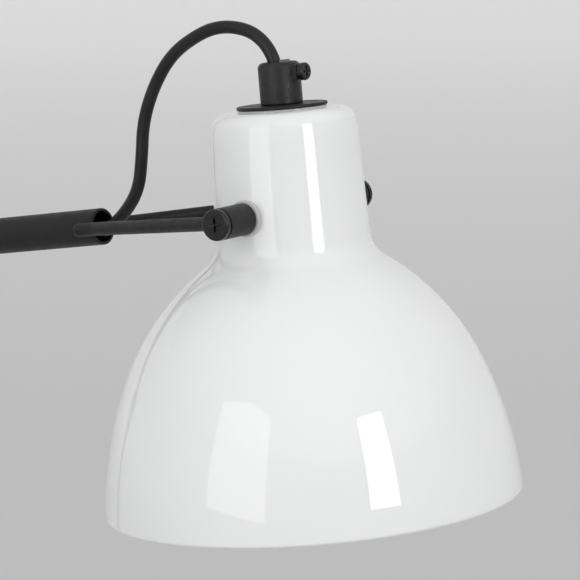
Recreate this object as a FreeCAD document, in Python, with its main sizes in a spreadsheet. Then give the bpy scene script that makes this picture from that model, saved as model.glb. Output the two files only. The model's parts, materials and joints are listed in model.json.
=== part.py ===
import FreeCAD, Part
import math
import os
import re
import Sketcher

# Adjustable arm floor lamp, millimetres. The origin is the centre of the base's underside on the
# floor, +Z is up, and the arm points along +X. The tilt hinge and the shade's pivot both run along Y.
# Turned pieces are drawn round the Z axis of one of three frames and then placed in it:
#   stand frame   the origin of the lamp
#   arm frame     origin on the tilt hinge, X along the arm
#   shade frame   origin on the shade's pivot, Z along the shade's own axis

SIZES = {
    # stand
    "base_radius": 135.0, "base_thick": 10.0, "base_edge": 3.0, "pad_radius": 131.0, "pad_thick": 2.0,
    "recess_radius": 22.0, "recess_depth": 7.0, "bolt_radius": 5.0, "bolt_head": 5.2, "bolt_reach": 40.0,
    "base_washer": 1.6, "bolt_washer_radius": 13.0, "bolt_corners": 9.2, "collar_round": 3.0,
    "collar_radius": 18.0, "collar_height": 13.0, "pole_radius": 10.0, "pole_wall": 1.5,
    "pole_split": 590.0, "coupler_half": 40.0, "coupler_ring": 2.0, "coupler_wall": 1.6,
    "foot_height": 34.0, "inlet_height": 64.0, "inlet_radius": 4.2, "bush_bore": 2.9,
    "bush_flange": 6.0, "bush_inside": 7.6, "bush_outside": 11.8, "hinge_height": 1180.0, "pole_drop": 55.0,
    # swivel and tilt hinge
    "plug_reach": 35.0, "nipple_radius": 5.0, "nipple_bore": 3.6, "nipple_drop": 21.0,
    "nut_corners": 8.6, "nut_height": 4.4, "washer_thick": 1.5, "clevis_radius": 13.0,
    "clevis_drop": 50.0, "clevis_roof": 28.0, "ear_inner": 12.5, "ear_outer": 18.0, "pin_radius": 4.0,
    "clevis_web": 6.0, "pin_head": 7.5, "pin_head_thick": 4.0, "pin_inset": 0.5,
    "knob_radius": 15.0, "knob_neck": 5.0, "knob_length": 16.0,
    "barrel_half": 11.3, "barrel_cavity": 9.5, "barrel_cavity_half": 6.0, "stub_radius": 10.4,
    "stub_reach": 34.0, "flex_way": 5.5, "running_gap": 0.05, "body_gap": 0.3,
    # arm and fork
    "arm_pitch": 9.35, "arm_reach": 430.0, "arm_radius": 8.25, "arm_wall": 1.2, "arm_rear": 13.0,
    "fork_reach": 103.0, "rod_radius": 3.0, "rod_lap": 5.0, "rod_offset": 10.85, "rod_spread": 47.8,
    "rod_bend": 26.0, "boss_radius": 6.65, "boss_inner": 34.5, "boss_outer": 51.4,
    # shade
    "shade_tilt": 5.65, "flat_radius": 24.2, "glass_top": 42.3, "shoulder_bend": 6.4,
    "neck_top_radius": 31.3, "neck_top": 30.6, "neck_low_radius": 33.1, "neck_low": -12.8,
    "neck_fillet": 12.8, "upper_dome": 106.2, "lower_dome": 170.2, "dome_split": -68.9,
    "rim_radius": 90.0, "rim_low": -126.0, "glass_wall": 2.8, "rim_round": 1.2,
    # pieces on the shade
    "disc_radius": 19.3, "disc_thick": 1.4, "gasket_radius": 18.9, "gasket_thick": 0.9,
    "grip_radius": 9.0, "grip_height": 17.8, "grip_round": 2.4, "grip_mouth": 6.3,
    "grip_floor": 8.0, "grip_tab": 10.9, "screw_radius": 2.0, "screw_head": 6.6, "screw_head_thick": 2.4,
    "head_round": 0.8, "friction_thick": 0.6, "washer_radius": 7.6, "pivot_nut_low": 22.9,
    "pivot_nut_height": 3.2, "pivot_nut_corners": 4.05, "steel_thick": 0.8,
    "grip_screw_radius": 1.5, "grip_screw_head": 3.7, "grip_screw_seat": 11.5, "grip_screw_end": 14.0,
    "insert_half": 3.1, "insert_height": 6.1, "insert_drop": 7.6, "insert_depth": 5.6,
    "holder_radius": 19.5, "holder_skirt": 18.6, "holder_socket": 13.7, "holder_top": 38.6,
    "holder_split": 20.0, "holder_mouth": -10.0, "insert_low": 14.0, "insert_high": 22.0,
    "bulb_radius": 30.0, "bulb_centre": -56.0, "bulb_skin": 1.0, "bulb_cap": 12.4, "cap_low": -14.0,
    "cap_high": 9.0, "cap_skin": 0.6, "bulb_shoulder": 24.2, "bulb_neck_low": -38.0,
    # flex
    "flex_radius": 2.8,
}

doc = FreeCAD.newDocument("floor_lamp")
sheet = doc.addObject("Spreadsheet::Sheet", "Sizes")
for row, (alias, value) in enumerate(SIZES.items(), start=1):
    sheet.set(f"A{row}", alias)
    sheet.set(f"B{row}", str(value))
    sheet.setAlias(f"B{row}", alias)
doc.recompute()

Vector = FreeCAD.Vector
Rotation = FreeCAD.Rotation
Placement = FreeCAD.Placement
X_AXIS, Y_AXIS, Z_AXIS = Vector(1, 0, 0), Vector(0, 1, 0), Vector(0, 0, 1)
UPRIGHT = Rotation()
ALONG_X = Rotation(Y_AXIS, 90)
ALONG_Y = Rotation(X_AXIS, -90)
ALONG_MINUS_Y = Rotation(X_AXIS, 90)
ALIAS_WORD = re.compile(r"[a-z]+(?:_[a-z]+)+")
kept = []


def size(alias):
    return float(sheet.get(alias))


def value_of(text):
    """The number that a piece of arithmetic on aliases comes to."""
    total = 0.0
    for term in re.findall(r"[+-]?[^+-]+", str(text).replace(" ", "")):
        sign = -1.0 if term.startswith("-") else 1.0
        product = sign
        for factor in term.lstrip("+-").split("*"):
            product *= size(factor) if ALIAS_WORD.fullmatch(factor) else float(factor)
        total += product
    return total


def bound(text):
    """The same arithmetic as a cell expression."""
    return ALIAS_WORD.sub(lambda word: "Sizes." + word.group(0), str(text))


def keep(obj, name, frame=Placement()):
    """Name a finished sub-part, put it in its frame and list it for writing."""
    obj.Label = name
    obj.Placement = frame.multiply(obj.Placement)
    kept.append(obj)
    return obj


# ---------------------------------------------------------------- frames

hinge_point = Vector(0, 0, size("hinge_height"))
ARM_TURN = Rotation(Y_AXIS, -size("arm_pitch"))
ARM = Placement(hinge_point, ARM_TURN)
pivot_point = ARM.multVec(Vector(size("arm_reach"), 0, 0))
SHADE = Placement(pivot_point, Rotation(Y_AXIS, -size("shade_tilt")))
FORK = ARM.multiply(Placement(Vector(size("arm_reach"), 0, 0), UPRIGHT))


def moved(x=0.0, y=0.0, z=0.0, turn=UPRIGHT):
    return Placement(Vector(x, y, z), turn)


# ---------------------------------------------------------------- makers

def cylinder(radius, height, place=Placement()):
    piece = doc.addObject("Part::Cylinder", "cylinder")
    piece.setExpression("Radius", bound(radius))
    piece.setExpression("Height", bound(height))
    piece.Placement = place
    return piece


def block(length, width, height, place=Placement()):
    """A box centred on its place in X and Y, standing on it in Z."""
    piece = doc.addObject("Part::Box", "block")
    piece.setExpression("Length", bound(length))
    piece.setExpression("Width", bound(width))
    piece.setExpression("Height", bound(height))
    centred = Placement(Vector(-value_of(length) / 2, -value_of(width) / 2, 0), UPRIGHT)
    piece.Placement = place.multiply(centred)
    return piece


def hexagon(across_corners, height, place=Placement()):
    piece = doc.addObject("Part::Prism", "hexagon")
    piece.Polygon = 6
    piece.setExpression("Circumradius", bound(across_corners))
    piece.setExpression("Height", bound(height))
    piece.Placement = place
    return piece


def cut(base, *tools):
    for tool in tools:
        result = doc.addObject("Part::Cut", "cut")
        result.Base, result.Tool = base, tool
        base = result
    return base


def fuse(*shapes):
    result = doc.addObject("Part::MultiFuse", "fuse")
    result.Shapes = list(shapes)
    return result


def pair(piece_of):
    """The same piece on both sides of the shade, as one group of two solids."""
    group = doc.addObject("Part::Compound", "pair")
    group.Links = [piece_of(1), piece_of(-1)]
    return group


def new_sketch(body, name, plane_role, offset=Placement()):
    sketch = body.newObject("Sketcher::SketchObject", name)
    plane = [item for item in body.Origin.OriginFeatures if item.Role == plane_role][0]
    sketch.AttachmentSupport = (plane, [""])
    sketch.MapMode = "FlatFace"
    sketch.AttachmentOffset = offset
    return sketch


def hold_point(sketch, edge, end, across, up):
    """Fix one end of a sketch edge at (across, up), each a cell expression."""
    for kind, text in (("DistanceX", across), ("DistanceY", up)):
        index = sketch.addConstraint(
            Sketcher.Constraint(kind, -1, 1, edge, end, value_of(text)))
        if ALIAS_WORD.search(str(text)):
            sketch.setExpression(f"Constraints[{index}]", bound(text))


def hold_size(sketch, kind, alias, *places):
    """A driving dimension of a sketch, bound to its cell."""
    index = sketch.addConstraint(Sketcher.Constraint(kind, *places, size(alias)))
    sketch.setExpression(f"Constraints[{index}]", bound(alias))


def outline(sketch, corners):
    """A closed outline of straight edges whose corners are (across, up) expressions."""
    points = [Vector(value_of(across), value_of(up), 0) for across, up in corners]
    count = len(points)
    for start in range(count):
        sketch.addGeometry(Part.LineSegment(points[start], points[(start + 1) % count]), False)
    for start in range(count):
        sketch.addConstraint(Sketcher.Constraint("Coincident", start, 2, (start + 1) % count, 1))
    for start, (across, up) in enumerate(corners):
        hold_point(sketch, start, 1, across, up)


def turned(corners, rounds=()):
    """A body turned round Z from an outline of (radius, height) corners. Each of the rounds is
    (radius, height, size): the circle there gets a fillet of that size."""
    body = doc.addObject("PartDesign::Body", "turned")
    sketch = new_sketch(body, "outline", "XZ_Plane")
    outline(sketch, corners)
    feature = body.newObject("PartDesign::Revolution", "revolution")
    feature.Profile = sketch
    feature.ReferenceAxis = (sketch, ["V_Axis"])
    feature.Angle = 360
    for radius, height, amount in rounds:
        doc.recompute()
        feature = round_circle(body, feature, value_of(radius), value_of(height), amount)
    return body


def round_circle(body, feature, radius, height, amount):
    names = []
    for number, edge in enumerate(feature.Shape.Edges, start=1):
        circle = isinstance(edge.Curve, Part.Circle) and abs(edge.Curve.Radius - radius) < 0.01
        if circle and abs(edge.Curve.Center.z - height) < 0.01:
            names.append(f"Edge{number}")
    fillet = body.newObject("PartDesign::Fillet", "fillet")
    fillet.Base = (feature, names)
    if ALIAS_WORD.search(str(amount)):
        fillet.setExpression("Radius", bound(amount))
    else:
        fillet.Radius = float(amount)
    return fillet


def ring(outer, inner, low, high, rounds=()):
    return turned([(inner, low), (outer, low), (outer, high), (inner, high)], rounds)


def disc(radius, low, high, rounds=()):
    return turned([(0, low), (radius, low), (radius, high), (0, high)], rounds)


def placed(piece, place):
    piece.Placement = place
    return piece


def cross_recess(reach, width, depth, place):
    """The tool for a cross-head recess: two crossed blades that narrow towards the bottom."""
    cone = doc.addObject("Part::Cone", "recess_cone")
    cone.Radius1 = reach * 0.45
    cone.Radius2 = reach
    cone.Height = depth
    cone.Placement = place
    blades = fuse(block(2 * reach, width, depth, place), block(width, 2 * reach, depth, place))
    common = doc.addObject("Part::Common", "recess")
    common.Base, common.Tool = cone, blades
    return common


# ---------------------------------------------------------------- flex

def flex_wire(points):
    """Straight runs joined by tangent arcs, each arc as large as its two runs allow. Returns
    the wire and the arcs' radii."""
    edges, radii = [], []
    at = points[0]
    for before, corner, after in zip(points, points[1:], points[2:]):
        run_in, run_out = corner - before, after - corner
        turn = run_in.getAngle(run_out)
        setback = 0.45 * min(run_in.Length, run_out.Length)
        radii.append(setback / math.tan(turn / 2))
        first = corner - Vector(run_in).normalize() * setback
        last = corner + Vector(run_out).normalize() * setback
        inward = (Vector(run_out).normalize() - Vector(run_in).normalize()).normalize()
        sagitta = radii[-1] * (1 / math.cos(turn / 2) - 1)
        edges.append(Part.LineSegment(at, first).toShape())
        edges.append(Part.Arc(first, corner + inward * sagitta, last).toShape())
        at = last
    edges.append(Part.LineSegment(at, points[-1]).toShape())
    return Part.Wire(edges), radii


def flex(name, points):
    """A plain tube of flex along its route."""
    wire, radii = flex_wire(points)
    radius = size("flex_radius")
    along = (points[1] - points[0]).normalize()
    section = Part.Wire(Part.makeCircle(radius, points[0], along))
    piece = doc.addObject("Part::Feature", "flex")
    piece.Shape = wire.makePipeShell([section], True, False)
    expected = math.pi * radius ** 2 * wire.Length
    print(f"{name}: length {wire.Length:.1f}, radii {[round(r, 1) for r in radii]}, "
          f"volume {piece.Shape.Volume:.0f} of {expected:.0f}")
    return keep(piece, name)


# ---------------------------------------------------------------- stand

def make_base():
    keep(disc("pad_radius", 0, "pad_thick"), "base_pad")
    roof = "pad_thick + recess_depth"
    top = "pad_thick + base_thick"
    plate = turned(
        [("recess_radius", "pad_thick"), ("base_radius", "pad_thick"), ("base_radius", top),
         ("bolt_radius", top), ("bolt_radius", roof), ("recess_radius", roof)],
        [("base_radius", top, "base_edge")])
    keep(plate, "base_plate")
    washer_low = "pad_thick + recess_depth - base_washer"
    keep(ring("bolt_washer_radius", "bolt_radius", washer_low, roof), "base_washer")
    head_low = value_of(washer_low + " - bolt_head")
    bolt = fuse(hexagon("bolt_corners", "bolt_head", moved(z=head_low)),
                cylinder("bolt_radius", "bolt_reach", moved(z=value_of(washer_low))))
    keep(bolt, "base_bolt")
    keep(ring("collar_radius", "pole_radius", top, top + " + collar_height",
              [("collar_radius", top + " + collar_height", "collar_round")]), "foot_collar")
    keep(ring("pole_radius - pole_wall", "bolt_radius", top, top + " + foot_height"), "foot_plug")


def make_pole():
    bore = "pole_radius - pole_wall"
    foot = "pad_thick + base_thick"
    head = "hinge_height - pole_drop"
    lower = ring("pole_radius", bore, foot, "pole_split")
    across = moved(x=-1.2 * size("pole_radius"), z=size("inlet_height"), turn=ALONG_X)
    keep(cut(lower, cylinder("inlet_radius", "pole_radius", across)), "pole_lower")
    keep(ring("pole_radius", bore, "pole_split + coupler_ring", head), "pole_upper")
    inner = "pole_radius - pole_wall - coupler_wall"
    keep(turned([(inner, "pole_split - coupler_half"), (bore, "pole_split - coupler_half"),
                 (bore, "pole_split"), ("pole_radius", "pole_split"),
                 ("pole_radius", "pole_split + coupler_ring"), (bore, "pole_split + coupler_ring"),
                 (bore, "pole_split + coupler_half"), (inner, "pole_split + coupler_half")]),
         "pole_coupler")
    # The bush lies along -X: its flange is outside the pole and its neck fills the pole's hole.
    inside, outside, seat = "0 - bush_inside", "0 - bush_outside", "0 - pole_radius"
    bush = turned([("bush_bore", inside), ("inlet_radius", inside), ("inlet_radius", seat),
                   ("bush_flange", seat), ("bush_flange", outside), ("bush_bore", outside)],
                  [("bush_flange", outside, 0.8)])
    bush.Placement = moved(z=size("inlet_height"), turn=ALONG_X)
    saddle = cylinder("pole_radius", "2 * pole_radius",
                      moved(z=value_of("inlet_height - pole_radius")))
    neck = cylinder("inlet_radius", "bush_outside - 3.5",
                    moved(value_of("0.3 - bush_outside"), 0, size("inlet_height"), ALONG_X))
    keep(cut(bush, cut(saddle, neck)), "inlet_bush")


def make_swivel():
    head = "hinge_height - pole_drop"
    plug_top = "hinge_height - clevis_drop - washer_thick - body_gap"
    keep(turned([("nipple_radius", head + " - plug_reach"),
                 ("pole_radius - pole_wall", head + " - plug_reach"),
                 ("pole_radius - pole_wall", head), ("pole_radius", head),
                 ("pole_radius", plug_top), ("nipple_radius", plug_top)]), "pole_top_plug")
    keep(ring("nipple_radius", "nipple_bore", head + " - plug_reach + 5", "hinge_height - nipple_drop"),
         "swivel_nipple")
    keep(ring("clevis_radius - 1", "nipple_radius", plug_top, plug_top + " + washer_thick"),
         "swivel_washer")
    roof = "hinge_height - clevis_roof"
    nut_seat = roof + " + body_gap + 0.8"
    keep(ring("nut_corners + 0.4", "nipple_radius", roof + " + body_gap", nut_seat), "swivel_top_washer")
    place = moved(z=value_of(nut_seat))
    nut = cut(hexagon("nut_corners", "nut_height", place), cylinder("nipple_radius", "nut_height", place))
    keep(nut, "swivel_nut")


def make_clevis():
    roof = value_of("hinge_height - clevis_roof")
    base_low = value_of("hinge_height - clevis_drop")
    ears = []
    for side in (1, -1):
        near, far = value_of("ear_inner"), value_of("ear_outer")
        middle = side * (near + far) / 2
        ears.append(block("2 * clevis_radius", "ear_outer - ear_inner", "clevis_roof + clevis_web",
                          moved(0, middle, roof - size("clevis_web"))))
        start = moved(0, side * near, size("hinge_height"), ALONG_Y if side > 0 else ALONG_MINUS_Y)
        ears.append(cylinder("clevis_radius", "ear_outer - ear_inner", start))
    bridge = block("2 * clevis_radius", "2 * ear_outer", "clevis_web",
                   moved(z=roof - size("clevis_web")))
    stem = cylinder("clevis_radius", "clevis_drop - clevis_roof", moved(z=base_low))
    bore = cylinder("nipple_radius + running_gap", "clevis_drop", moved(z=base_low - 1))
    holes = cylinder("pin_radius + running_gap", "3 * ear_outer",
                     moved(0, -1.5 * size("ear_outer"), size("hinge_height"), ALONG_Y))
    solid = fuse(stem, bridge, *ears)
    keep(cut(solid, bore, holes), "clevis")

    def friction_ring(side):
        washer = ring("clevis_radius - 1.5", "pin_radius + running_gap",
                      "barrel_half + body_gap", "ear_inner")
        return placed(washer, Placement(hinge_point, ALONG_Y if side > 0 else ALONG_MINUS_Y))

    keep(pair(friction_ring), "hinge_washers")
    # The plain pin on -Y: its domed head has a hexagon socket.
    inner_end, dome = "barrel_cavity_half + pin_inset", "ear_outer + pin_head_thick"
    pin = turned([(0, inner_end), ("pin_radius", inner_end), ("pin_radius", "ear_outer"),
                  ("pin_head", "ear_outer"), ("pin_head", dome), (0, dome)],
                 [("pin_head", dome, 2.2)])
    socket_depth = 2.4
    socket = hexagon(2.9, socket_depth, moved(z=value_of(dome) - socket_depth))
    keep(cut(pin, socket), "hinge_pin", Placement(hinge_point, ALONG_MINUS_Y))


def make_knob():
    """The lobed clamping knob on +Y and the stud it turns on."""
    lobes, scoop_radius, scoop_ring = 6, 6.0, 16.1
    wheel_low, wheel_high = "ear_outer + knob_neck", "ear_outer + knob_length"
    wheel = disc("knob_radius", wheel_low, wheel_high,
                 [("knob_radius", wheel_low, 2.0), ("knob_radius", wheel_high, 2.4)])
    neck = disc("clevis_radius - 1", "ear_outer + body_gap", wheel_low)
    scoops = []
    for number in range(lobes):
        angle = 2 * math.pi * number / lobes
        scoops.append(cylinder(scoop_radius, "knob_length",
                               moved(scoop_ring * math.cos(angle), scoop_ring * math.sin(angle),
                                     value_of(wheel_low))))
    stud_hole = cylinder("pin_radius", "knob_length", moved(z=value_of("ear_outer - 2")))
    keep(cut(fuse(neck, wheel), *scoops, stud_hole), "knob_handle", Placement(hinge_point, ALONG_Y))
    stud = disc("pin_radius", "barrel_cavity_half + pin_inset", "ear_outer + knob_length - 2")
    keep(stud, "knob_stud", Placement(hinge_point, ALONG_Y))


# ---------------------------------------------------------------- arm

def make_barrel():
    across = moved(0, -size("barrel_half"), 0, ALONG_Y)
    drum = cylinder("clevis_radius", "2 * barrel_half", across)
    stub = cylinder("stub_radius", "stub_reach", moved(turn=ALONG_X))
    cavity = cylinder("barrel_cavity", "2 * barrel_cavity_half",
                      moved(0, -size("barrel_cavity_half"), 0, ALONG_Y))
    tube_seat = cylinder("arm_radius", "stub_reach", moved(x=size("arm_rear"), turn=ALONG_X))
    flex_way = cylinder("flex_way", "stub_reach", moved(turn=ALONG_X))
    flex_slot = block("2 * clevis_radius - 3", "1.5 * flex_way", 16, moved(z=-16))
    pin_hole = cylinder("pin_radius + running_gap", "2 * ear_outer",
                        moved(0, -size("ear_outer"), 0, ALONG_Y))
    screw_radius, below = 2, moved(25, 0, -size("stub_radius"))
    screw_hole = cylinder(screw_radius, "stub_radius", below)
    keep(cut(fuse(drum, stub), cavity, tube_seat, flex_way, flex_slot, pin_hole, screw_hole),
         "hinge_barrel", ARM)
    screw = cylinder(screw_radius, "stub_radius - arm_radius - running_gap", below)
    keep(cut(screw, hexagon(1.1, 1.2, below)), "arm_set_screw", ARM)


def make_arm_tube():
    tube = ring("arm_radius", "arm_radius - arm_wall", "arm_rear", "arm_reach - fork_reach",
                [("arm_radius", "arm_reach - fork_reach", 0.4)])
    keep(tube, "arm_tube", ARM.multiply(moved(turn=ALONG_X)))


def rod_points(side):
    """A fork rod's straight run beside the tube, its bend and its splayed run, in the fork's
    own frame with the pivot at the origin. Returns the four tangent points and the bend's middle."""
    reach, spread = size("fork_reach"), size("rod_spread")
    offset, bend = size("rod_offset"), size("rod_bend")
    corner_x = -reach + 3
    turn = math.atan2(spread - offset, -corner_x)
    setback = bend * math.tan(turn / 2)
    start = Vector(-reach - size("rod_lap"), side * offset, 0)
    first = Vector(corner_x - setback, side * offset, 0)
    last = Vector(corner_x + setback * math.cos(turn), side * (offset + setback * math.sin(turn)), 0)
    middle = Vector(first.x + bend * math.sin(turn / 2),
                    side * (offset + bend * (1 - math.cos(turn / 2))), 0)
    return start, first, middle, last, Vector(0, side * spread, 0)


def make_rod(side, name):
    start, first, middle, last, end = rod_points(side)
    body = doc.addObject("PartDesign::Body", "rod")
    spine = new_sketch(body, "spine", "XY_Plane")
    spine.addGeometry(Part.LineSegment(start, first), False)
    spine.addGeometry(Part.Arc(first, middle, last), False)
    spine.addGeometry(Part.LineSegment(last, end), False)
    start_of_arc = 1 if (spine.getPoint(1, 1) - first).Length < (spine.getPoint(1, 2) - first).Length else 2
    hold_point(spine, 0, 1, "0 - fork_reach - rod_lap", f"{side} * rod_offset")
    hold_point(spine, 2, 2, 0, f"{side} * rod_spread")
    spine.addConstraint(Sketcher.Constraint("Horizontal", 0))
    spine.addConstraint(Sketcher.Constraint("Tangent", 0, 2, 1, start_of_arc))
    spine.addConstraint(Sketcher.Constraint("Tangent", 1, 3 - start_of_arc, 2, 1))
    hold_size(spine, "Radius", "rod_bend", 1)
    section = new_sketch(body, "section", "YZ_Plane", moved(z=start.x))
    section.addGeometry(Part.Circle(Vector(start.y, 0, 0), Z_AXIS, size("rod_radius")), False)
    hold_size(section, "Radius", "rod_radius", 0)
    hold_point(section, 0, 3, f"{side} * rod_offset", 0)
    pipe = body.newObject("PartDesign::AdditivePipe", "pipe")
    pipe.Profile = section
    pipe.Spine = (spine, ["Edge1", "Edge2", "Edge3"])
    nose = doc.addObject("Part::Sphere", "nose")
    nose.setExpression("Radius", bound("rod_radius"))
    nose.Placement = Placement(start, UPRIGHT)
    tube = cylinder("arm_radius", "2 * rod_lap",
                    moved(x=-value_of("fork_reach + 2 * rod_lap"), turn=ALONG_X))
    boss = cylinder("boss_radius", "boss_outer", moved(turn=ALONG_Y if side > 0 else ALONG_MINUS_Y))
    keep(cut(fuse(body, nose), tube, boss), name, FORK)


def make_fork():
    for side, word in ((-1, "near"), (1, "far")):
        make_rod(side, f"fork_rod_{word}")
        boss = ring("boss_radius", "screw_radius + running_gap", "boss_inner", "boss_outer",
                    [("boss_radius", "boss_outer", 0.3), ("boss_radius", "boss_inner", 0.3)])
        turn = ALONG_Y if side > 0 else ALONG_MINUS_Y
        keep(boss, f"fork_boss_{word}", FORK.multiply(moved(turn=turn)))


# ---------------------------------------------------------------- shade

def glass_arc(start, heading, end_heading, radius):
    """An arc that leaves start at one heading, in degrees below the horizontal, and ends at
    another. Returns the arc and its end."""
    bend = 1 if end_heading > heading else -1

    def at(degrees):
        angle, first = math.radians(degrees), math.radians(heading)
        return Vector(start.x + bend * radius * (math.sin(angle) - math.sin(first)),
                      start.y + bend * radius * (math.cos(angle) - math.cos(first)), 0)

    end = at(end_heading)
    return Part.Arc(start, at((heading + end_heading) / 2), end), end


def shade_outline(sketch):
    """Half of the solid bell: the flat top, the shoulder, the tapered neck, the fillet and the
    dome's two arcs, all tangent to each other, down to the rim."""
    top = size("glass_top")
    flat = Vector(size("flat_radius"), top, 0)
    neck_top = Vector(size("neck_top_radius"), size("neck_top"), 0)
    neck_low = Vector(size("neck_low_radius"), size("neck_low"), 0)
    rim = Vector(size("rim_radius"), size("rim_low"), 0)
    taper = math.degrees(math.atan2(neck_top.y - neck_low.y, neck_low.x - neck_top.x))
    shoulder_turn, dome_start_turn, split_turn = 62, 34.45, 65.7
    shoulder, shoulder_end = glass_arc(flat, 0, shoulder_turn, size("shoulder_bend"))
    neck_arc = Part.Arc(shoulder_end, (shoulder_end + neck_top) * 0.5 + Vector(0.6, 0.15, 0), neck_top)
    fillet, dome_start = glass_arc(neck_low, taper, dome_start_turn, size("neck_fillet"))
    upper, split = glass_arc(dome_start, dome_start_turn, split_turn, size("upper_dome"))
    lower = Part.Arc(split, (split + rim) * 0.5 + Vector(2.35, 0.55, 0), rim)
    edges = [Part.LineSegment(Vector(0, top, 0), flat), shoulder, neck_arc,
             Part.LineSegment(neck_top, neck_low), fillet, upper, lower,
             Part.LineSegment(rim, Vector(0, rim.y, 0)),
             Part.LineSegment(Vector(0, rim.y, 0), Vector(0, top, 0))]
    for edge in edges:
        sketch.addGeometry(edge, False)
    return edges


def make_bell():
    """The glass bell: a solid of revolution, hollowed from its rim, with its three holes."""
    body = doc.addObject("PartDesign::Body", "bell")
    sketch = new_sketch(body, "bell_outline", "XZ_Plane")
    count = len(shade_outline(sketch))
    flat, shoulder, neck, fillet, upper, lower, rim, axis = 0, 1, 3, 4, 5, 6, 7, 8
    joints = []
    for edge in range(count):
        follower = (edge + 1) % count
        ends = min(((a, b) for a in (1, 2) for b in (1, 2)),
                   key=lambda pick: (sketch.getPoint(edge, pick[0])
                                     - sketch.getPoint(follower, pick[1])).Length)
        kind = "Tangent" if edge < lower else "Coincident"
        sketch.addConstraint(Sketcher.Constraint(kind, edge, ends[0], follower, ends[1]))
        joints.append(ends)
    sketch.addConstraint(Sketcher.Constraint("Horizontal", flat))
    sketch.addConstraint(Sketcher.Constraint("Horizontal", rim))
    sketch.addConstraint(Sketcher.Constraint("Vertical", axis))
    hold_point(sketch, flat, joints[axis][1], 0, "glass_top")
    hold_size(sketch, "DistanceX", "flat_radius", -1, 1, flat, joints[flat][0])
    hold_point(sketch, neck, joints[neck - 1][1], "neck_top_radius", "neck_top")
    hold_point(sketch, neck, joints[neck][0], "neck_low_radius", "neck_low")
    hold_point(sketch, rim, joints[lower][1], "rim_radius", "rim_low")
    for edge, alias in ((shoulder, "shoulder_bend"), (fillet, "neck_fillet"),
                        (upper, "upper_dome"), (lower, "lower_dome")):
        hold_size(sketch, "Radius", alias, edge)
    hold_size(sketch, "DistanceY", "dome_split", -1, 1, upper, joints[upper][0])
    turn = body.newObject("PartDesign::Revolution", "bell_turn")
    turn.Profile = sketch
    turn.ReferenceAxis = (sketch, ["V_Axis"])
    turn.Angle = 360
    doc.recompute()
    rim_faces = [f"Face{number}" for number, face in enumerate(turn.Shape.Faces, start=1)
                 if face.Surface.isPlanar() and abs(face.CenterOfMass.z - size("rim_low")) < 0.01]
    hollow = body.newObject("PartDesign::Thickness", "hollow")
    hollow.Base = (turn, rim_faces)
    hollow.setExpression("Value", bound("glass_wall"))
    hollow.Reversed = True
    doc.recompute()
    rim_round = body.newObject("PartDesign::Fillet", "rim_round")
    rim_round.Base = (hollow, rim_edges(hollow.Shape))
    rim_round.setExpression("Radius", bound("rim_round"))
    top_hole = cylinder("nipple_radius + 0.5", "glass_top", moved(z=size("glass_top") / 2))
    side_hole = cylinder("screw_radius + 0.6", "rim_radius", moved(y=-size("rim_radius") / 2, turn=ALONG_Y))
    keep(cut(body, top_hole, side_hole), "shade_glass", SHADE)


def rim_edges(shape):
    """The rim's two circles."""
    names = []
    for number, edge in enumerate(shape.Edges, start=1):
        if isinstance(edge.Curve, Part.Circle) and abs(edge.Curve.Center.z - size("rim_low")) < 0.01:
            names.append(f"Edge{number}")
    return names


def neck_cone(inset):
    """The neck's taper as a solid cone, drawn in by inset."""
    cone = doc.addObject("Part::Cone", "neck_cone")
    cone.setExpression("Radius1", bound(f"neck_low_radius - {inset}"))
    cone.setExpression("Radius2", bound(f"neck_top_radius - {inset}"))
    cone.setExpression("Height", bound("neck_top - neck_low"))
    cone.Placement = moved(z=size("neck_low"))
    return cone


def sideways(side):
    return moved(turn=ALONG_Y if side > 0 else ALONG_MINUS_Y)


def make_pivots():
    """On each side, from the outside in: screw, friction washer, (fork boss), clear washer,
    (glass), inner washer, steel washer and nut."""
    washer_low = "boss_outer + body_gap"
    head_low = washer_low + " + friction_thick"
    head_top = head_low + " + screw_head_thick"
    nut_low, nut_top = "pivot_nut_low", "pivot_nut_low + pivot_nut_height"
    steel_top = nut_top + " + steel_thick"

    def screw(side):
        body = turned([(0, nut_low + " - 0.6"), ("screw_radius", nut_low + " - 0.6"),
                       ("screw_radius", head_low), ("screw_head", head_low),
                       ("screw_head", head_top), (0, head_top)],
                      [("screw_head", head_top, "head_round")])
        depth = 1.85
        recess = cross_recess(3.0, 1.1, depth + 0.05, moved(z=value_of(head_top) - depth))
        return placed(cut(body, recess), sideways(side))

    def friction_washer(side):
        return placed(ring("screw_head - 0.8", "screw_radius", washer_low, head_low), sideways(side))

    def outer_washer(side):
        body = ring("washer_radius", "screw_radius", "neck_top_radius - 1.3", "boss_inner - body_gap",
                    [("washer_radius", "boss_inner - body_gap", 0.5)])
        return cut(placed(body, sideways(side)), neck_cone(0))

    def inner_washer(side):
        common = doc.addObject("Part::Common", "inner_washer")
        common.Base = placed(ring(6, "screw_radius", steel_top, "neck_top_radius"), sideways(side))
        common.Tool = neck_cone("glass_wall")
        return common

    def steel_washer(side):
        return placed(ring(5.2, "screw_radius", nut_top, steel_top), sideways(side))

    def nut(side):
        low = moved(z=value_of(nut_low))
        body = hexagon("pivot_nut_corners", "pivot_nut_height", low)
        return placed(cut(body, cylinder("screw_radius", "pivot_nut_height", low)), sideways(side))

    for name, piece_of in (("pivot_screws", screw), ("friction_washers", friction_washer),
                           ("outer_washers", outer_washer), ("inner_washers", inner_washer),
                           ("steel_washers", steel_washer), ("pivot_nuts", nut)):
        keep(pair(piece_of), name, SHADE)


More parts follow.
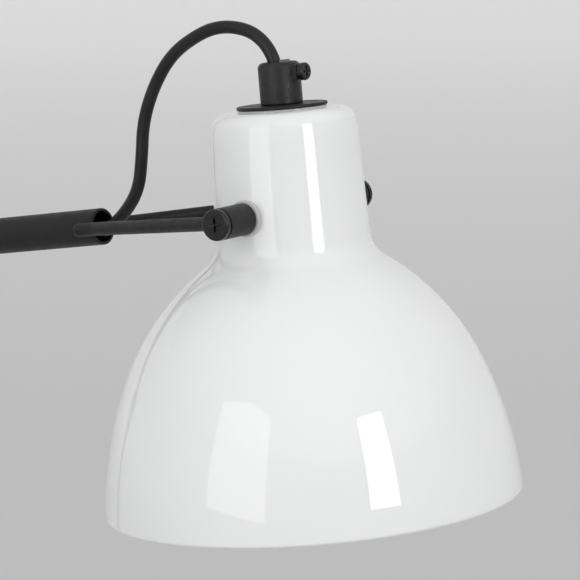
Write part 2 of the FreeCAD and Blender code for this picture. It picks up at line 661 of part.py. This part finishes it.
def make_top():
    """The stack on the flat top: clear gasket, steel disc and cord grip, on a hollow nipple."""
    gasket_top = "glass_top + gasket_thick"
    disc_top = gasket_top + " + disc_thick"
    hole = "nipple_radius"
    keep(ring("gasket_radius", hole, "glass_top", gasket_top,
              [("gasket_radius", gasket_top, 0.3)]), "top_gasket", SHADE)
    keep(ring("disc_radius", hole, gasket_top, disc_top,
              [("disc_radius", disc_top, 0.45), ("disc_radius", gasket_top, 0.45)]), "top_disc", SHADE)
    inside = "glass_top - glass_wall"
    keep(ring(13, hole, inside + " - 0.9", inside), "inner_gasket", SHADE)
    grip_top = disc_top + " + grip_height"
    mouth_floor = grip_top + " - grip_floor"
    grip = turned([(hole, disc_top), ("grip_radius", disc_top), ("grip_radius", grip_top),
                   ("grip_mouth", grip_top), ("grip_mouth", mouth_floor), (hole, mouth_floor)],
                  [("grip_radius", grip_top, "grip_round"), ("grip_radius", disc_top, 0.7),
                   ("grip_mouth", grip_top, 0.4)])
    block_low = value_of(grip_top + " - insert_drop")
    screw_height = block_low + size("insert_height") / 2
    window = block(8, "2 * insert_half", "insert_height", moved(x=9.2, z=block_low))
    keep(cut(grip, window), "cord_grip", SHADE)
    insert = block("insert_depth", "2 * insert_half", "insert_height", moved(x=8.0, z=block_low))
    screw_hole = cylinder("grip_screw_radius", 10, moved(x=4, z=screw_height, turn=ALONG_X))
    keep(cut(insert, screw_hole), "grip_insert", SHADE)
    screw = turned([(0, 3.9), ("grip_screw_radius", 3.9), ("grip_screw_radius", "grip_screw_seat"),
                    ("grip_screw_head", "grip_screw_seat"), ("grip_screw_head", "grip_screw_end"),
                    (0, "grip_screw_end")], [("grip_screw_head", "grip_screw_end", "head_round")])
    depth = 1.65
    recess = cross_recess(2.5, 1.0, depth + 0.05, moved(z=size("grip_screw_end") - depth))
    keep(placed(cut(screw, recess), moved(z=screw_height, turn=ALONG_X)), "grip_screw", SHADE)
    tab_low = value_of(grip_top + " - 10")
    keep(block(1.6, 5.6, "grip_tab", moved(x=3.1, z=tab_low)), "grip_tab", SHADE)
    keep(ring(hole, "nipple_bore", 27, grip_top + " - grip_floor - 2.4"), "shade_nipple", SHADE)


def make_holder():
    """The lampholder under the glass: cap, shell, ceramic insert, contacts and terminal screws."""
    top, split, mouth = "holder_top", "holder_split", "holder_mouth"
    wide, cap_bend = "holder_radius", 31
    keep(turned([("nipple_radius", top), ("nipple_radius", top + " - 2"), (12.6, top + " - 2"),
                 (17.6, 30.2), (17.6, split), (wide, split), (wide, cap_bend), (13.8, top)],
                [(wide, cap_bend, 3.0)]), "holder_cap", SHADE)
    keep(turned([("holder_socket", mouth), ("holder_skirt", mouth), ("holder_skirt", "insert_low"),
                 (wide, "insert_low + 1.2"), (wide, split), ("holder_socket", split)],
                [("holder_skirt", mouth, 1.2)]), "holder_shell", SHADE)
    keep(disc("holder_socket", "insert_low", "insert_high"), "holder_insert", SHADE)
    keep(disc(4, "insert_low - 1.2", "insert_low"), "centre_contact", SHADE)
    keep(block(0.8, 5, 8, moved(x=13.0, z=6)), "side_contact", SHADE)

    def terminal(side):
        return cylinder(1.9, 2.2, moved(x=8 * side, z=size("insert_high")))

    keep(pair(terminal), "terminal_screws", SHADE)


def make_bulb():
    neck, low, high = "bulb_cap - cap_skin", "cap_low", "cap_high"
    keep(ring("bulb_cap", neck, low, high), "bulb_cap", SHADE)
    keep(turned([(0, high), ("bulb_cap", high), (5, high + " + 3"), (0, high + " + 3")]),
         "bulb_insulator", SHADE)
    keep(disc(3.6, high + " + 3", "insert_low - 1.2"), "bulb_contact", SHADE)

    def envelope(inset):
        ball = doc.addObject("Part::Sphere", "ball")
        ball.setExpression("Radius", bound(f"bulb_radius - {inset}"))
        ball.Placement = moved(z=size("bulb_centre"))
        cone = doc.addObject("Part::Cone", "bulb_neck")
        cone.setExpression("Radius1", bound(f"bulb_shoulder - {inset}"))
        cone.setExpression("Radius2", bound(f"{neck} - {inset}"))
        cone.setExpression("Height", bound("cap_low - bulb_neck_low"))
        cone.Placement = moved(z=size("bulb_neck_low"))
        return fuse(ball, cone)

    keep(cut(envelope(0), envelope("bulb_skin")), "bulb_glass", SHADE)


# ---------------------------------------------------------------- flex routes

# The loop of flex from inside the arm's open end, over the shade and down into the cord grip,
# as (X, Z) from the shade's pivot.
LOOP_ROUTE = [
    (-111.8, -21.9), (-100.5, -19.8), (-88.3, -8.8), (-81.2, 2.0), (-79.4, 16.0), (-78.4, 32.0),
    (-72.2, 48.3), (-62.0, 62.9), (-46.4, 72.5), (-35.8, 75.6), (-25.6, 75.4), (-18.1, 73.2),
    (-11.8, 68.4), (-7.5, 61.1), (-6.2, 53.2),
]


def make_flex():
    top = value_of("hinge_height - nipple_drop")
    entry = size("inlet_height")
    flex("pole_flex", [Vector(-7.5, 0, entry), Vector(0, 0, entry), Vector(0, 0, top)])
    lift = 2.0
    corner = Vector(0, 0, size("hinge_height") + lift / math.cos(math.radians(size("arm_pitch"))))
    start = pivot_point + Vector(LOOP_ROUTE[0][0], 0, LOOP_ROUTE[0][1])
    flex("arm_flex", [Vector(0, 0, top), corner, start])
    flex("head_flex", [pivot_point + Vector(x, 0, z) for x, z in LOOP_ROUTE])
    # The shade's own length of flex stops just short of the loop's end, inside the grip.
    low, high, offset = 27, 53.0, -0.7
    keep(cylinder("flex_radius", high - low, moved(x=offset, z=low)), "shade_flex", SHADE)


# ---------------------------------------------------------------- build and write

for maker in (make_base, make_pole, make_swivel, make_clevis, make_knob, make_barrel, make_arm_tube,
              make_fork, make_bell, make_pivots, make_top, make_holder, make_bulb, make_flex):
    maker()
doc.recompute()

for obj in doc.Objects:
    if "Invalid" in obj.State or "Error" in obj.State:
        raise RuntimeError(f"{obj.Name} did not build: {obj.State}")
for obj in kept:
    if obj.Shape.isNull() or not obj.Shape.isValid() or not obj.Shape.Solids:
        raise RuntimeError(f"{obj.Label} has no valid solid")

os.makedirs("parts", exist_ok=True)
for obj in kept:
    obj.Shape.exportStep(f"parts/{obj.Label}.step")
print(f"{len(kept)} sub-parts written")
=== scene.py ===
import json
import math

import bpy
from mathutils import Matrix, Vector


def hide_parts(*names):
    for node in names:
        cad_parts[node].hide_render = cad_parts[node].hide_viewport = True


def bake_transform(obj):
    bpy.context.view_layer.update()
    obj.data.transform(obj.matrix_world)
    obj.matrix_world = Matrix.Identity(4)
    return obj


# The looks of an adjustable arm floor lamp, in metres, in the CAD model's frame: the base stands on
# the floor at the origin, +Z is up and the arm points along +X.

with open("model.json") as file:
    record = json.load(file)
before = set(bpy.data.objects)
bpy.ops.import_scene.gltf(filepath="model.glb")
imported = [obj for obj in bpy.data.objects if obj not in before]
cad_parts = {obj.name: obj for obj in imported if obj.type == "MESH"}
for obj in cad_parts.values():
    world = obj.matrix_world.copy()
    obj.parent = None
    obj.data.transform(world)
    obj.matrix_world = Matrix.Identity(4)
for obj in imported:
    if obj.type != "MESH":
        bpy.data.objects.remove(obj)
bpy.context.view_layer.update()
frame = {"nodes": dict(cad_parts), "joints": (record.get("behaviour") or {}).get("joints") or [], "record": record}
nodes = frame["nodes"]
slot_of = {part["node"]: part["material_slot"] for part in frame["record"]["subparts"]}
joint_of = {joint["name"]: joint for joint in frame["joints"]}
pivot = Vector(joint_of["shade_tilt"]["pos_m"])


# ---------------------------------------------------------------- camera

# Angles are in degrees, and the point that the camera looks at is given from the shade's pivot.
CAMERA_AIM = Vector((0.0034, -0.0053, -0.0339))
CAMERA_DISTANCE = 1.087
CAMERA_AZIMUTH = 34.45
CAMERA_ELEVATION = 10.51
CAMERA_VIEW = 12.92
NEAREST, FARTHEST = 0.05, 100


def direction(azimuth, elevation):
    """The unit vector from the lamp towards an azimuth and elevation in degrees. Azimuth 0 is -Y,
    and 90 is +X."""
    around, up = math.radians(azimuth), math.radians(elevation)
    return Vector((math.sin(around) * math.cos(up), -math.cos(around) * math.cos(up), math.sin(up)))


def look_at(obj, target):
    obj.rotation_euler = (target - obj.location).to_track_quat("-Z", "Y").to_euler()


def make_camera():
    data = bpy.data.cameras.new("camera")
    data.angle = math.radians(CAMERA_VIEW)
    data.clip_start, data.clip_end = NEAREST, FARTHEST
    camera = bpy.data.objects.new("camera", data)
    bpy.context.scene.collection.objects.link(camera)
    target = pivot + CAMERA_AIM
    camera.location = target + direction(CAMERA_AZIMUTH, CAMERA_ELEVATION) * CAMERA_DISTANCE
    look_at(camera, target)
    bpy.context.scene.camera = camera


# ---------------------------------------------------------------- material nodes

class Shader:
    """A material's nodes, with short calls for the few kinds that the finishes share."""

    def __init__(self, name, slot):
        self.material = bpy.data.materials.new(name)
        self.material.use_nodes = True
        self.tree = self.material.node_tree
        self.bsdf = self.tree.nodes["Principled BSDF"]
        self.place = self.tree.nodes.new("ShaderNodeTexCoord").outputs["Object"]
        self.slot = slot

    def link(self, output, target):
        self.tree.links.new(output, target)

    def fixed(self, **values):
        """Numbers and colours that are the same all over the surface."""
        for name, value in values.items():
            self.bsdf.inputs[name.replace("_", " ")].default_value = value

    def noise(self, scale, detail=2.0, roughness=0.5, stretch=(1, 1, 1)):
        texture = self.tree.nodes.new("ShaderNodeTexNoise")
        texture.inputs["Scale"].default_value = scale
        texture.inputs["Detail"].default_value = detail
        texture.inputs["Roughness"].default_value = roughness
        self.link(self.mapped(stretch), texture.inputs["Vector"])
        return texture.outputs["Fac"]

    def cells(self, scale, smoothness=0.4):
        texture = self.tree.nodes.new("ShaderNodeTexVoronoi")
        texture.feature = "SMOOTH_F1"
        texture.inputs["Scale"].default_value = scale
        texture.inputs["Smoothness"].default_value = smoothness
        self.link(self.place, texture.inputs["Vector"])
        return texture.outputs["Distance"]

    def mapped(self, stretch):
        if tuple(stretch) == (1, 1, 1):
            return self.place
        mapping = self.tree.nodes.new("ShaderNodeMapping")
        mapping.inputs["Scale"].default_value = stretch
        self.link(self.place, mapping.inputs["Vector"])
        return mapping.outputs["Vector"]

    def spread(self, factor, low, high, lowest, highest):
        """Maps a factor between low and high to a number between lowest and highest."""
        ranged = self.tree.nodes.new("ShaderNodeMapRange")
        for name, value in (("From Min", low), ("From Max", high), ("To Min", lowest),
                            ("To Max", highest)):
            ranged.inputs[name].default_value = value
        self.link(factor, ranged.inputs["Value"])
        return ranged.outputs["Result"]

    def middle(self, factor, lowest=0, highest=1):
        """Spreads the middle of a noise, where most of it lies, over a range."""
        return self.spread(factor, 0.3, 0.7, lowest, highest)

    def distance(self):
        """How far a point is from the object's origin."""
        length = self.tree.nodes.new("ShaderNodeVectorMath")
        length.operation = "LENGTH"
        self.link(self.place, length.inputs[0])
        return length.outputs["Value"]

    def tint(self, factor, first, second):
        """A colour between two greys or colours."""
        mix = self.tree.nodes.new("ShaderNodeMix")
        mix.data_type = "RGBA"
        mix.inputs["A"].default_value = colour(first)
        mix.inputs["B"].default_value = colour(second)
        self.link(factor, mix.inputs["Factor"])
        return mix.outputs["Result"]

    def paint(self, output, socket="Base Color"):
        self.link(output, self.bsdf.inputs[socket])

    def bump(self, height, strength, distance):
        """Adds one layer of bump over those already there."""
        node = self.tree.nodes.new("ShaderNodeBump")
        node.inputs["Strength"].default_value = strength
        node.inputs["Distance"].default_value = distance
        self.link(height, node.inputs["Height"])
        normal = self.bsdf.inputs["Normal"]
        if normal.links:
            self.link(normal.links[0].from_socket, node.inputs["Normal"])
        self.link(node.outputs["Normal"], normal)


def colour(value):
    red, green, blue = (value, value, value) if isinstance(value, float) else value
    return (red, green, blue, 1.0)


# ---------------------------------------------------------------- finishes

def powder_coat():
    """Matte black powder coat: a fine orange peel over slow waves, with a faint change of tone."""
    finish = Shader("powder_coat", "black_metal")
    finish.fixed(IOR=1.36)
    slow = finish.noise(35, 3)
    finish.paint(finish.tint(finish.middle(slow), 0.009, 0.014))
    finish.paint(finish.middle(finish.noise(260, 4), 0.40, 0.52), "Roughness")
    finish.bump(finish.noise(1500, 2, 0.55), 0.22, 0.00012)
    finish.bump(finish.noise(320, 1), 0.05, 0.0003)
    return finish


def black_oxide():
    """Blackened steel screws: darker than the paint and a little sharper in the light."""
    finish = Shader("black_oxide", "black_oxide")
    finish.fixed(IOR=1.48)
    finish.paint(finish.tint(finish.middle(finish.noise(180, 3)), 0.003, 0.006))
    finish.paint(finish.middle(finish.noise(520, 3), 0.22, 0.34), "Roughness")
    finish.bump(finish.noise(1100, 2), 0.10, 0.0001)
    return finish


def moulded_black():
    """Black moulded nylon: a fine spark-eroded grain whose points catch the light."""
    finish = Shader("moulded_black", "black_plastic")
    finish.fixed(IOR=1.42)
    slow = finish.noise(60, 2)
    finish.paint(finish.tint(finish.middle(slow), 0.012, 0.020))
    finish.paint(finish.middle(finish.noise(700, 3), 0.34, 0.56), "Roughness")
    finish.bump(finish.cells(1500), 0.42, 0.00016)
    finish.bump(finish.noise(2600, 2), 0.20, 0.0001)
    return finish


def moulded_grey():
    """The small grey tongue in the cord grip."""
    finish = Shader("moulded_grey", "grey_plastic")
    finish.fixed(IOR=1.46, Roughness=0.45)
    finish.paint(finish.tint(finish.noise(300, 2), 0.15, 0.22))
    finish.bump(finish.noise(1600, 2), 0.15, 0.0001)
    return finish


def flex_sheath():
    """Satin black sheath with a slight unevenness."""
    finish = Shader("flex_sheath", "black_flex")
    finish.fixed(IOR=1.38)
    finish.paint(finish.tint(finish.middle(finish.noise(90, 2)), 0.008, 0.013))
    finish.paint(finish.middle(finish.noise(240, 3), 0.30, 0.42), "Roughness")
    finish.bump(finish.noise(420, 2), 0.10, 0.0002)
    return finish


def opal_glass():
    """Glossy white opal glass: light goes a little way into it, and its surface has the faint
    waves of blown glass."""
    finish = Shader("opal_glass", "opal_glass")
    finish.fixed(IOR=1.5, Roughness=0.03, Subsurface_Weight=0.35, Subsurface_Scale=0.004,
                 Subsurface_Radius=(1.0, 1.0, 1.0))
    finish.paint(finish.tint(finish.middle(finish.noise(9, 2)),
                             (0.825, 0.835, 0.83), (0.85, 0.86, 0.855)))
    finish.bump(finish.noise(14, 1), 0.02, 0.002)
    return finish


def clear_silicone():
    """Clear washers and gaskets, very slightly cloudy."""
    finish = Shader("clear_silicone", "clear_silicone")
    finish.fixed(IOR=1.41, Transmission_Weight=0.5)
    finish.paint(finish.tint(finish.noise(90, 1), 0.84, 0.92))
    finish.paint(finish.middle(finish.noise(120, 1), 0.10, 0.18), "Roughness")
    finish.bump(finish.noise(300, 1), 0.03, 0.0001)
    return finish


def zinc_plate():
    """Bright zinc plate with fine tool marks."""
    finish = Shader("zinc_plate", "zinc_steel")
    finish.fixed(Metallic=1.0)
    finish.paint(finish.tint(finish.noise(120, 3), (0.50, 0.51, 0.53), (0.66, 0.66, 0.66)))
    finish.paint(finish.middle(finish.noise(900, 4), 0.24, 0.42), "Roughness")
    finish.bump(finish.noise(500, 2, stretch=(1, 1, 8)), 0.12, 0.0001)
    return finish


def foam_pad():
    """Black foam sheet with closed cells."""
    finish = Shader("foam_pad", "pad_foam")
    finish.fixed(Roughness=0.9, IOR=1.4)
    finish.paint(finish.tint(finish.noise(150, 4), 0.03, 0.055))
    finish.bump(finish.cells(900), 0.6, 0.0004)
    return finish


def frosted_glass():
    """The bulb's frosted envelope."""
    finish = Shader("frosted_glass", "frosted_glass")
    finish.fixed(IOR=1.45, Transmission_Weight=0.35)
    finish.paint(finish.tint(finish.noise(40, 2), (0.88, 0.88, 0.86), (0.93, 0.93, 0.92)))
    finish.paint(finish.middle(finish.noise(300, 2), 0.38, 0.5), "Roughness")
    finish.bump(finish.noise(1200, 2), 0.08, 0.0001)
    return finish


def spun_aluminium():
    """The bulb's bright cap, with turning marks round it."""
    finish = Shader("spun_aluminium", "cap_aluminium")
    finish.fixed(Metallic=1.0)
    finish.paint(finish.tint(finish.noise(150, 2), 0.72, 0.84))
    finish.paint(finish.middle(finish.noise(400, 2), 0.2, 0.34), "Roughness")
    finish.bump(finish.noise(300, 1, stretch=(0.2, 0.2, 6)), 0.2, 0.0002)
    return finish


def holder_ceramic():
    """Unglazed white ceramic."""
    finish = Shader("holder_ceramic", "insulator")
    finish.fixed(IOR=1.5)
    finish.paint(finish.tint(finish.noise(220, 4), (0.70, 0.68, 0.62), (0.82, 0.81, 0.77)))
    finish.paint(finish.middle(finish.noise(300, 3), 0.45, 0.65), "Roughness")
    finish.bump(finish.noise(1300, 3), 0.2, 0.0001)
    return finish


def contact_brass():
    """Stamped brass, a little dulled."""
    finish = Shader("contact_brass", "contact_brass")
    finish.fixed(Metallic=1.0)
    finish.paint(finish.tint(finish.noise(250, 3), (0.55, 0.40, 0.16), (0.76, 0.60, 0.28)))
    finish.paint(finish.middle(finish.noise(700, 3), 0.25, 0.45), "Roughness")
    finish.bump(finish.noise(1000, 2), 0.1, 0.0001)
    return finish


FINISHES = {}
for make_finish in (powder_coat, black_oxide, moulded_black, moulded_grey, flex_sheath, opal_glass,
                    clear_silicone, zinc_plate, foam_pad, frosted_glass, spun_aluminium,
                    holder_ceramic, contact_brass):
    finish = make_finish()
    FINISHES[finish.slot] = finish.material


def dress_cad_nodes():
    """Every CAD node keeps its shape and gets the finish of its own slot."""
    for name, obj in nodes.items():
        for index in range(len(obj.material_slots)):
            obj.material_slots[index].material = FINISHES[slot_of[name]]


# ---------------------------------------------------------------- the loop of flex

# From inside the arm's open end, up over the shade and down into the cord grip: (X, Z) from the
# shade's pivot.
LOOP_ROUTE = [
    (-0.1118, -0.0219), (-0.1005, -0.0198), (-0.0883, -0.0088), (-0.0812, 0.0020),
    (-0.0794, 0.0160), (-0.0784, 0.0320), (-0.0722, 0.0483), (-0.0620, 0.0629),
    (-0.0464, 0.0725), (-0.0358, 0.0756), (-0.0256, 0.0754), (-0.0181, 0.0732),
    (-0.0118, 0.0684), (-0.0075, 0.0611), (-0.0062, 0.0532),
]
FLEX_DIAMETER = 0.0056
FLEX_SIDES = 40
SPLINE_STEPS = 14


def nurbs_line(points, steps):
    """The points of a NURBS spline whose control points are the route's."""
    data = bpy.data.curves.new("route", "CURVE")
    data.dimensions = "3D"
    spline = data.splines.new("NURBS")
    spline.points.add(len(points) - 1)
    for index, point in enumerate(points):
        spline.points[index].co = (*point, 1)
    spline.order_u = 3
    spline.use_endpoint_u = True
    spline.resolution_u = steps
    carrier = bpy.data.objects.new("route", data)
    bpy.context.scene.collection.objects.link(carrier)
    bpy.context.view_layer.update()
    sampled = bpy.data.meshes.new_from_object(carrier)
    line = [vertex.co.copy() for vertex in sampled.vertices]
    bpy.data.objects.remove(carrier)
    bpy.data.meshes.remove(sampled)
    return line


def tube_mesh(name, line, radius, sides):
    """A closed tube round a line that lies in a plane square to Y."""
    across = Vector((0, 1, 0))
    vertices, faces = [], []
    last = len(line) - 1
    for index, point in enumerate(line):
        along = (line[min(index + 1, last)] - line[max(index - 1, 0)]).normalized()
        outward = along.cross(across)
        for side in range(sides):
            angle = 2 * math.pi * side / sides
            vertices.append(point + (outward * math.cos(angle) + across * math.sin(angle)) * radius)
    for ring in range(last):
        for side in range(sides):
            here, following = ring * sides + side, ring * sides + (side + 1) % sides
            faces.append((here, following, following + sides, here + sides))
    faces.append(tuple(reversed(range(sides))))
    faces.append(tuple(last * sides + side for side in range(sides)))
    mesh = bpy.data.meshes.new(name)
    mesh.from_pydata([tuple(vertex) for vertex in vertices], [], faces)
    mesh.validate()
    for polygon in mesh.polygons:
        polygon.use_smooth = len(polygon.vertices) == 4
    return mesh


def make_loop():
    route = [pivot + Vector((x, 0, z)) for x, z in LOOP_ROUTE]
    line = nurbs_line(route, SPLINE_STEPS)
    mesh = tube_mesh("head_flex_loop", line, FLEX_DIAMETER / 2, FLEX_SIDES)
    loop = bpy.data.objects.new("head_flex_loop", mesh)
    bpy.context.scene.collection.objects.link(loop)
    mesh.materials.append(FINISHES["black_flex"])
    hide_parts("head_flex")
    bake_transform(loop)


# ---------------------------------------------------------------- floor and lights

FLOOR_RADIUS = 14.0
FLAT_RADIUS = FLOOR_RADIUS * 0.5
SWEEP_RADIUS = 4.0
WALL_HEIGHT = 8.0
SWEEP_STEPS = 16
ROUND_STEPS = 96
FLOOR_PAINTED_SHADE, WALL_PAINTED_LIGHT = 0.68, 0.92
PAINTED_LIGHT_STARTS, PAINTED_LIGHT_ENDS = 4.5, 16.0      # how far out the floor's painted shade turns into the wall's painted light
SKY_AZIMUTH = 55                        # the sky's bright side
SKY_DIM, SKY_BRIGHT = 0.46, 1.04


def make_floor():
    """A pale floor that sweeps up into a round wall, far outside every camera. Its colour is painted light: darker
    near the lamp and paler out on the wall, standing in for a backdrop lit brighter further out.
    """
    profile = [(0.0, 0.0), (FLAT_RADIUS, 0.0)]
    for step in range(SWEEP_STEPS + 1):
        angle = math.pi / 2 * step / SWEEP_STEPS
        profile.append((FLOOR_RADIUS + SWEEP_RADIUS * math.sin(angle),
                        SWEEP_RADIUS * (1 - math.cos(angle))))
    profile.append((FLOOR_RADIUS + SWEEP_RADIUS, WALL_HEIGHT))
    vertices = [(0, 0, 0)]
    faces = []
    for radius, height in profile[1:]:
        for step in range(ROUND_STEPS):
            angle = 2 * math.pi * step / ROUND_STEPS
            vertices.append((radius * math.cos(angle), radius * math.sin(angle), height))
    for step in range(ROUND_STEPS):
        following = (step + 1) % ROUND_STEPS
        faces.append((0, 1 + step, 1 + following))
        for ring in range(len(profile) - 2):
            low = 1 + ring * ROUND_STEPS
            high = low + ROUND_STEPS
            faces.append((low + step, high + step, high + following, low + following))
    mesh = bpy.data.meshes.new("floor")
    mesh.from_pydata(vertices, [], faces)
    for polygon in mesh.polygons:
        polygon.use_smooth = True
    floor = bpy.data.objects.new("floor", mesh)
    bpy.context.scene.collection.objects.link(floor)
    pale = Shader("pale_floor", None)
    pale.fixed(Roughness=0.7, IOR=1.3)
    # Painted light: the colour goes from a darker painted shade near the lamp to a paler painted light out on the
    # wall.
    painted_far_light = pale.spread(pale.distance(), PAINTED_LIGHT_STARTS, PAINTED_LIGHT_ENDS, 0, 1)
    pale.paint(pale.tint(painted_far_light, FLOOR_PAINTED_SHADE, WALL_PAINTED_LIGHT))
    pale.bump(pale.noise(40, 2), 0.02, 0.002)
    mesh.materials.append(pale.material)


def soft_box(name, azimuth, distance, bottom, top, width, radiance):
    """An upright soft box facing the shade, its bottom and top edges given as heights from the
    shade's pivot, and its brightness as radiance."""
    height = top - bottom
    middle = pivot + Vector((0, 0, (bottom + top) / 2))
    data = bpy.data.lights.new(name, "AREA")
    data.shape = "RECTANGLE"
    data.size, data.size_y = width, height
    data.energy = radiance * math.pi * width * height
    light = bpy.data.objects.new(name, data)
    bpy.context.scene.collection.objects.link(light)
    light.location = middle + direction(azimuth, 0) * distance
    look_at(light, middle)
    light.visible_camera = False


def make_sky():
    """A white sky, brighter on the side that the soft boxes stand on."""
    world = bpy.data.worlds.new("studio")
    world.use_nodes = True
    tree = world.node_tree
    toward = tree.nodes.new("ShaderNodeVectorMath")
    toward.operation = "DOT_PRODUCT"
    toward.inputs[1].default_value = direction(SKY_AZIMUTH, 0)
    tree.links.new(tree.nodes.new("ShaderNodeTexCoord").outputs["Generated"], toward.inputs[0])
    strength = tree.nodes.new("ShaderNodeMapRange")
    for name, value in (("From Min", -1.0), ("From Max", 1.0), ("To Min", SKY_DIM),
                        ("To Max", SKY_BRIGHT)):
        strength.inputs[name].default_value = value
    tree.links.new(toward.outputs["Value"], strength.inputs["Value"])
    background = tree.nodes["Background"]
    background.inputs["Color"].default_value = (1, 1, 1, 1)
    tree.links.new(strength.outputs["Result"], background.inputs["Strength"])
    bpy.context.scene.world = world


def make_lights():
    make_sky()
    soft_box("box_broad", azimuth=-6, distance=0.8, bottom=-0.095, top=0.39, width=0.46, radiance=1.8)
    soft_box("box_bright", azimuth=72, distance=1.2, bottom=0.03, top=0.66, width=0.35, radiance=5.6)


make_camera()
make_loop()
dress_cad_nodes()
make_floor()
make_lights()

view = bpy.context.scene.view_settings
view.view_transform = "Standard"
view.look = "None"
